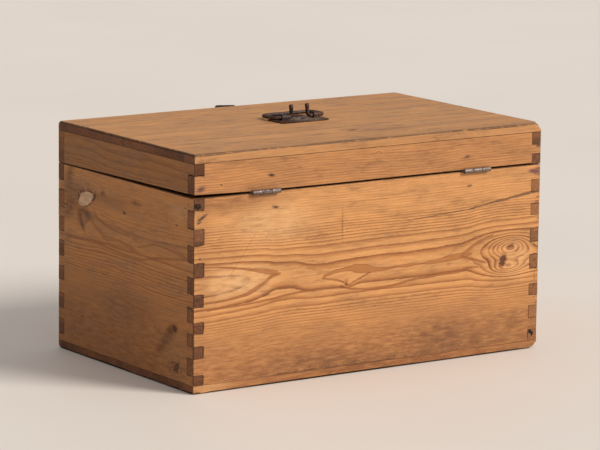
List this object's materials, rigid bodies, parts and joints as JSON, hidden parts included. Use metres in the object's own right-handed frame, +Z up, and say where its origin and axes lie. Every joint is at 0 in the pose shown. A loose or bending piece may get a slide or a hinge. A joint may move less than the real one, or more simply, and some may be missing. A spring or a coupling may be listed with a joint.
{
  "type": "wooden chest",
  "caption": "Rectangular pine box chest with finger-jointed walls, hinged lid, iron drop handle on top and slotted hasp, for storing and carrying small things.",
  "frame": {"origin": "centre of the chest's underside", "axes": "+Z up, +X along the long side, +Y towards the hinge side"},
  "size_m": [0.6, 0.3867, 0.3581],
  "materials": {
    "body_pine": "aged waxed pine",
    "bottom_pine": "aged bare pine",
    "lid_pine": "aged waxed pine",
    "hinge_iron": "worn, lightly rusted",
    "handle_iron": "dark rusted",
    "hasp_iron": "dark rusted",
    "nail_iron": "dark rusted"
  },
  "bodies": {
    "chest_body": {"back_panel": "body_pine", "front_panel": "body_pine", "right_end_panel": "body_pine", "left_end_panel": "body_pine", "bottom_board_rear": "bottom_pine", "bottom_board_front": "bottom_pine", "bottom_nails": "nail_iron", "corner_nails": "nail_iron", "hinge_lower_leaf_right": "hinge_iron", "hinge_lower_leaf_left": "hinge_iron", "hinge_lower_nails": "nail_iron", "hinge_pin_right": "hinge_iron", "hinge_pin_left": "hinge_iron", "hasp_staple": "hasp_iron"},
    "lid": {"lid_board_rear": "lid_pine", "lid_board_front": "lid_pine", "lid_back_rim": "lid_pine", "lid_front_rim": "lid_pine", "lid_right_rim": "lid_pine", "lid_left_rim": "lid_pine", "lid_nails": "nail_iron", "hinge_upper_leaf_right": "hinge_iron", "hinge_upper_leaf_left": "hinge_iron", "hinge_upper_nails": "nail_iron", "handle_plate": "handle_iron", "handle_eye_right": "handle_iron", "handle_eye_left": "handle_iron", "hasp_leaf": "hasp_iron", "hasp_leaf_nails": "nail_iron", "hasp_pin": "hasp_iron"},
    "bail": {"handle_bail": "handle_iron"},
    "hasp": {"hasp_arm": "hasp_iron"}
  },
  "joints": [
    {"name": "lid_hinge", "type": "hinge", "parent": "chest_body", "child": "lid", "pos_m": [0, 0.1862, 0.2753], "axis": [-1, 0, 0], "range_deg": [0, 185]},
    {"name": "handle_lift", "type": "hinge", "parent": "lid", "child": "bail", "pos_m": [-0.01, -0.018, 0.3401], "axis": [-1, 0, 0], "range_deg": [0, 90]},
    {"name": "hasp_swing", "type": "hinge", "parent": "lid", "child": "hasp", "pos_m": [0.008, -0.1861, 0.281], "axis": [1, 0, 0], "range_deg": [0, 180]}
  ]
}
